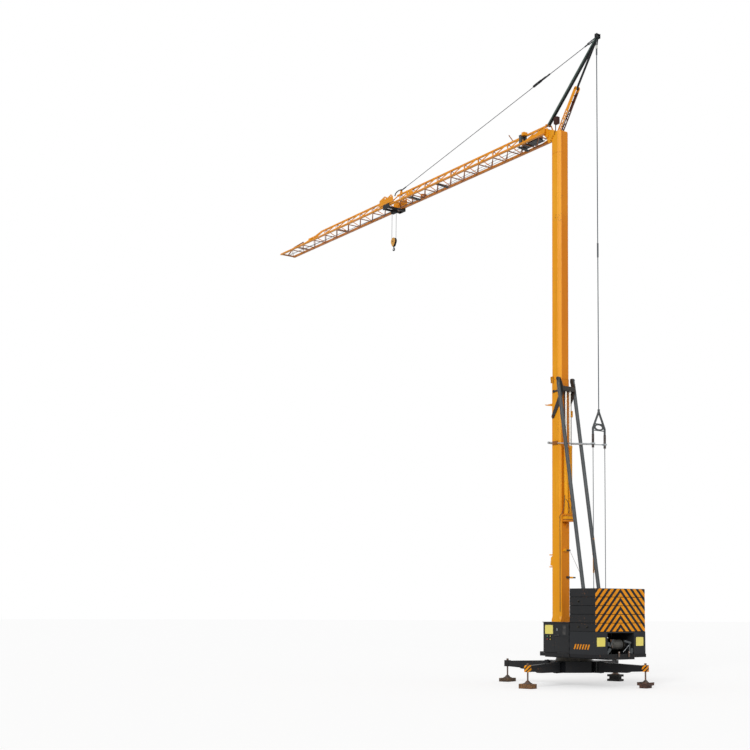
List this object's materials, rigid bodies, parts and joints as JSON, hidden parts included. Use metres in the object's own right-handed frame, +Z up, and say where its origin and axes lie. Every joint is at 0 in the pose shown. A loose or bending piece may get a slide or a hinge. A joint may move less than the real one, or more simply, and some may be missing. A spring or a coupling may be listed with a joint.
{
  "type": "tower crane",
  "caption": "Self-erecting tower crane on four outriggers, with folding box mast, lattice jib, rear stay, concrete ballast and hook trolley.",
  "frame": {"origin": "slewing axis at ground level, under the feet", "axes": "+X along the jib from the mast, +Z up along the slewing axis"},
  "size_m": [26.6061, 6.4169, 25.16],
  "materials": {
    "orange_paint": "semi-gloss",
    "grey_paint": "satin",
    "dark_paint": "satin",
    "bare_steel": "greasy",
    "galvanised": "dull zinc",
    "rod_chrome": "polished",
    "ballast": "painted concrete",
    "timber": "weathered"
  },
  "bodies": {
    "base": {"chassis": "grey_paint", "slew_ring_lower": "bare_steel", "pad_front_left": "timber", "pad_rear_left": "timber", "pad_rear_right": "timber", "pad_front_right": "timber"},
    "front_left_arm": {"arm_front_left": "grey_paint"},
    "front_left_jack": {"jack_front_left": "bare_steel"},
    "rear_left_arm": {"arm_rear_left": "grey_paint"},
    "rear_left_jack": {"jack_rear_left": "bare_steel"},
    "rear_right_arm": {"arm_rear_right": "grey_paint"},
    "rear_right_jack": {"jack_rear_right": "bare_steel"},
    "front_right_arm": {"arm_front_right": "grey_paint"},
    "front_right_jack": {"jack_front_right": "bare_steel"},
    "upper_cabinet_door": {"cabinet_upper_door": "grey_paint"},
    "lower_cabinet_door": {"cabinet_lower_door": "grey_paint"},
    "drum": {"winch_drum": "bare_steel"},
    "jib_trolley": {"trolley": "dark_paint", "rope_fall_front": "galvanised", "rope_fall_rear": "galvanised"},
    "hook_pulley": {"hook_block": "dark_paint"},
    "swivel_hook": {"hook": "dark_paint"},
    "superstructure": {"apex_block": "dark_paint", "back_strut_lower": "orange_paint", "back_strut_upper": "dark_paint", "ballast_block_1": "ballast", "ballast_block_2": "ballast", "ballast_block_3": "ballast", "ballast_block_4": "ballast", "ballast_block_5": "ballast", "cabinet": "grey_paint", "cylinder_barrels": "orange_paint", "cylinder_rod_left": "rod_chrome", "cylinder_rod_right": "rod_chrome", "equaliser": "dark_paint", "erecting_yoke": "dark_paint", "fold_joint": "orange_paint", "front_strut": "dark_paint", "jib_inner_floor": "orange_paint", "jib_inner_left_side": "orange_paint", "jib_inner_right_side": "orange_paint", "jib_outer_floor": "orange_paint", "jib_outer_left_side": "orange_paint", "jib_outer_right_side": "orange_paint", "jib_pendant": "galvanised", "jib_root_frame": "orange_paint", "lower_mast": "orange_paint", "mast_head": "orange_paint", "platform_box": "grey_paint", "platform_deck": "grey_paint", "rear_stay": "galvanised", "slew_ring_upper": "bare_steel", "stay_guide": "galvanised", "stay_rope_left": "galvanised", "stay_rope_right": "galvanised", "strut_left": "dark_paint", "strut_right": "dark_paint", "upper_mast": "orange_paint"}
  },
  "joints": [
    {"name": "slew", "type": "hinge", "parent": "base", "child": "superstructure", "pos_m": [0, 0, 0.965], "axis": [0, 0, 1], "continuous": true},
    {"name": "front_left_arm_swing", "type": "hinge", "parent": "base", "child": "front_left_arm", "pos_m": [1.13429, 0.32525, 0.69], "axis": [0, 0, -1], "range_deg": [0, 45]},
    {"name": "front_left_jack_travel", "type": "slide", "parent": "front_left_arm", "child": "front_left_jack", "axis": [0, 0, 1], "range_m": [0, 0.12]},
    {"name": "rear_left_arm_swing", "type": "hinge", "parent": "base", "child": "rear_left_arm", "pos_m": [-0.32525, 1.13429, 0.69], "axis": [0, 0, 1], "range_deg": [0, 45]},
    {"name": "rear_left_jack_travel", "type": "slide", "parent": "rear_left_arm", "child": "rear_left_jack", "axis": [0, 0, 1], "range_m": [0, 0.12]},
    {"name": "rear_right_arm_swing", "type": "hinge", "parent": "base", "child": "rear_right_arm", "pos_m": [-1.13429, -0.32525, 0.69], "axis": [0, 0, -1], "range_deg": [0, 45]},
    {"name": "rear_right_jack_travel", "type": "slide", "parent": "rear_right_arm", "child": "rear_right_jack", "axis": [0, 0, 1], "range_m": [0, 0.12]},
    {"name": "front_right_arm_swing", "type": "hinge", "parent": "base", "child": "front_right_arm", "pos_m": [0.32525, -1.13429, 0.69], "axis": [0, 0, 1], "range_deg": [0, 45]},
    {"name": "front_right_jack_travel", "type": "slide", "parent": "front_right_arm", "child": "front_right_jack", "axis": [0, 0, 1], "range_m": [0, 0.12]},
    {"name": "upper_door_swing", "type": "hinge", "parent": "superstructure", "child": "upper_cabinet_door", "pos_m": [-1.146, 1.2615, 1.8], "axis": [0, 0, 1], "range_deg": [0, 105]},
    {"name": "lower_door_swing", "type": "hinge", "parent": "superstructure", "child": "lower_cabinet_door", "pos_m": [-1.146, 1.2615, 1.8], "axis": [0, 0, 1], "range_deg": [0, 105]},
    {"name": "trolley_travel", "type": "slide", "parent": "superstructure", "child": "jib_trolley", "axis": [1, 0, 0], "range_m": [-10.6, 9.5]},
    {"name": "hook_hoist", "type": "slide", "parent": "jib_trolley", "child": "hook_pulley", "axis": [0, 0, -1], "range_m": [-0.7, 18.6], "deforming": ["rope_fall_front", "rope_fall_rear"]},
    {"name": "hook_swivel", "type": "hinge", "parent": "hook_pulley", "child": "swivel_hook", "pos_m": [12.78, 0, 19.98], "axis": [0, 0, 1], "continuous": true},
    {"name": "drum_turn", "type": "hinge", "parent": "superstructure", "child": "drum", "pos_m": [-2.2, 0, 1.56], "axis": [0, 1, 0], "range_deg": [-455.6, 11979.2]}
  ],
  "couplings": [
    {"joint": "drum_turn", "follows": "hook_hoist", "rad_per_m": 11.236}
  ]
}
